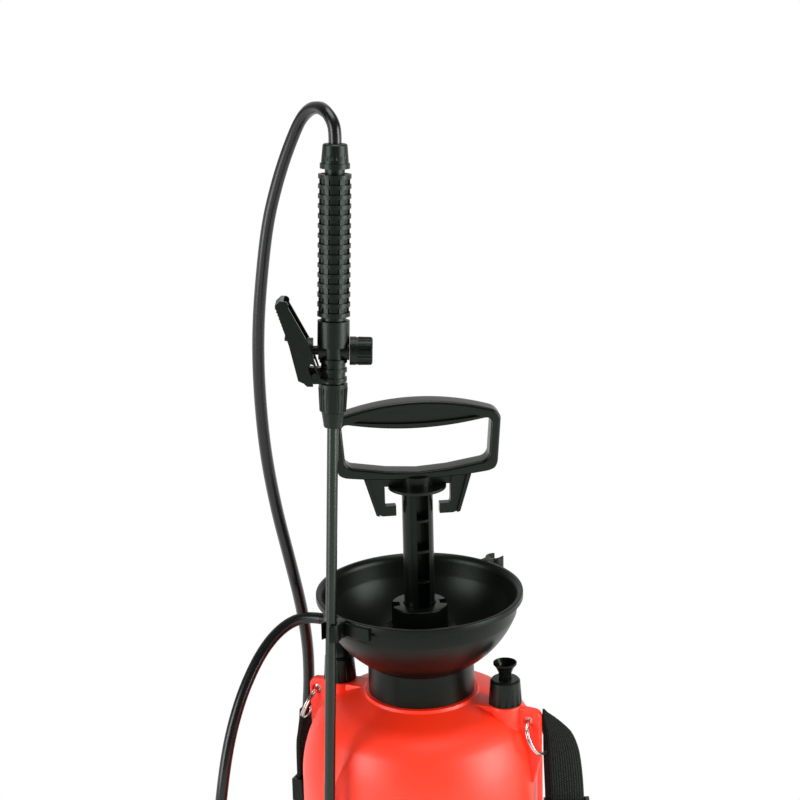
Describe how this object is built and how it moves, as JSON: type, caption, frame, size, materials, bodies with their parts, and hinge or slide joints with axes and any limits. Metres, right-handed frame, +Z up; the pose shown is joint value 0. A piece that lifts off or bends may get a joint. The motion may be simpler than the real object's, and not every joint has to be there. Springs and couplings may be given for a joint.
{
  "type": "garden pressure sprayer",
  "caption": "Hand-pumped pressure sprayer with a funnel-mouthed tank, D-handle pump, relief valve, hose, trigger wand and shoulder strap.",
  "frame": {"origin": "centre of the tank's base, on the ground", "axes": "+Z up the pump axis, +X to the relief valve, -Y to the label side"},
  "size_m": [0.3026, 0.2763, 0.7535],
  "materials": {
    "tank": "satin moulded plastic",
    "black_plastic": "satin moulded plastic",
    "rubber": "smooth",
    "hose": "smooth flexible hose",
    "steel": "bright wire",
    "webbing": "woven webbing",
    "clear_tube": "milky moulded plastic"
  },
  "bodies": {
    "sprayer": {"tank": "tank", "neck_gasket": "rubber", "funnel": "black_plastic", "relief_nut": "black_plastic", "relief_seat": "black_plastic", "relief_spring": "steel", "outlet_nut": "black_plastic", "outlet_elbow": "black_plastic", "dip_tube": "clear_tube", "dip_strainer": "black_plastic", "hose": "hose", "strap_right_run": "webbing", "strap_left_run": "webbing", "strap_back_run": "webbing"},
    "pump": {"pump_cap": "black_plastic", "pump_gasket": "rubber", "pump_barrel": "black_plastic", "foot_valve": "rubber"},
    "plunger": {"piston": "black_plastic", "piston_seal": "rubber"},
    "handle": {"pump_rod": "black_plastic", "pump_grip": "black_plastic"},
    "relief_pull": {"relief_knob": "black_plastic"},
    "wand": {"hose_nut": "black_plastic", "wand_grip": "black_plastic", "valve_body": "black_plastic", "valve_cap": "black_plastic", "pin_spring": "steel", "cone_nut": "black_plastic", "lance_seal": "rubber", "lance_tube": "black_plastic", "nozzle_body": "black_plastic"},
    "trigger_axle": {"lever_pin": "steel"},
    "trigger": {"lever": "black_plastic"},
    "valve_pin": {"push_pin": "black_plastic"},
    "nozzle_tip": {"nozzle_cap": "black_plastic"},
    "right_strap_end": {"right_ring": "steel", "right_loop": "webbing", "right_slider": "black_plastic"},
    "left_strap_end": {"left_ring": "steel", "left_loop": "webbing", "left_slider": "black_plastic"}
  },
  "joints": [
    {"name": "pump_lift_out", "type": "slide", "parent": "sprayer", "child": "pump", "axis": [0, 0, 1], "range_m": [0, 0.275]},
    {"name": "pump_stroke", "type": "slide", "parent": "pump", "child": "plunger", "axis": [0, 0, 1], "range_m": [-0.0962, 0.08]},
    {"name": "handle_turn", "type": "hinge", "parent": "plunger", "child": "handle", "pos_m": [0, 0, 0.45], "axis": [0, 0, -1], "range_deg": [0, 90]},
    {"name": "relief_pull_up", "type": "slide", "parent": "sprayer", "child": "relief_pull", "axis": [0, 0, 1], "range_m": [0, 0.004], "stiffness_N_per_m": 200, "springref_m": -0.002, "deforming": ["relief_spring"]},
    {"name": "wand_unclip", "type": "slide", "parent": "sprayer", "child": "wand", "axis": [-0.4113, -0.9115, 0], "range_m": [0, 0.05], "deforming": ["hose"]},
    {"name": "trigger_squeeze", "type": "hinge", "parent": "wand", "child": "trigger_axle", "pos_m": [-0.0521, -0.07243, 0.54525], "axis": [-0.3907, 0.9161, -0.0898], "range_deg": [0, 9], "stiffness_Nm_per_rad": 0.6, "springref_deg": -2.86},
    {"name": "trigger_lock", "type": "slide", "parent": "trigger_axle", "child": "trigger", "axis": [0.3205, 0.0439, -0.9462], "range_m": [0, 0.0065]},
    {"name": "valve_push", "type": "slide", "parent": "wand", "child": "valve_pin", "axis": [0.9205, 0.3889, -0.0381], "range_m": [0, 0.0029], "deforming": ["pin_spring"]},
    {"name": "nozzle_twist", "type": "hinge", "parent": "wand", "child": "nozzle_tip", "pos_m": [-0.0393, -0.11735, 0.03148], "axis": [0, 0.0976, 0.9952], "range_deg": [0, 270]},
    {"name": "right_strap_swing", "type": "hinge", "parent": "sprayer", "child": "right_strap_end", "pos_m": [0.0932, 0, 0.247], "axis": [0, -1, 0], "range_deg": [0, 12], "deforming": ["strap_right_run"]},
    {"name": "left_strap_swing", "type": "hinge", "parent": "sprayer", "child": "left_strap_end", "pos_m": [-0.0932, 0, 0.247], "axis": [0, 1, 0], "range_deg": [0, 12], "deforming": ["strap_left_run"]}
  ],
  "couplings": [
    {"joint": "valve_push", "follows": "trigger_squeeze", "m_per_rad": 0.018}
  ]
}
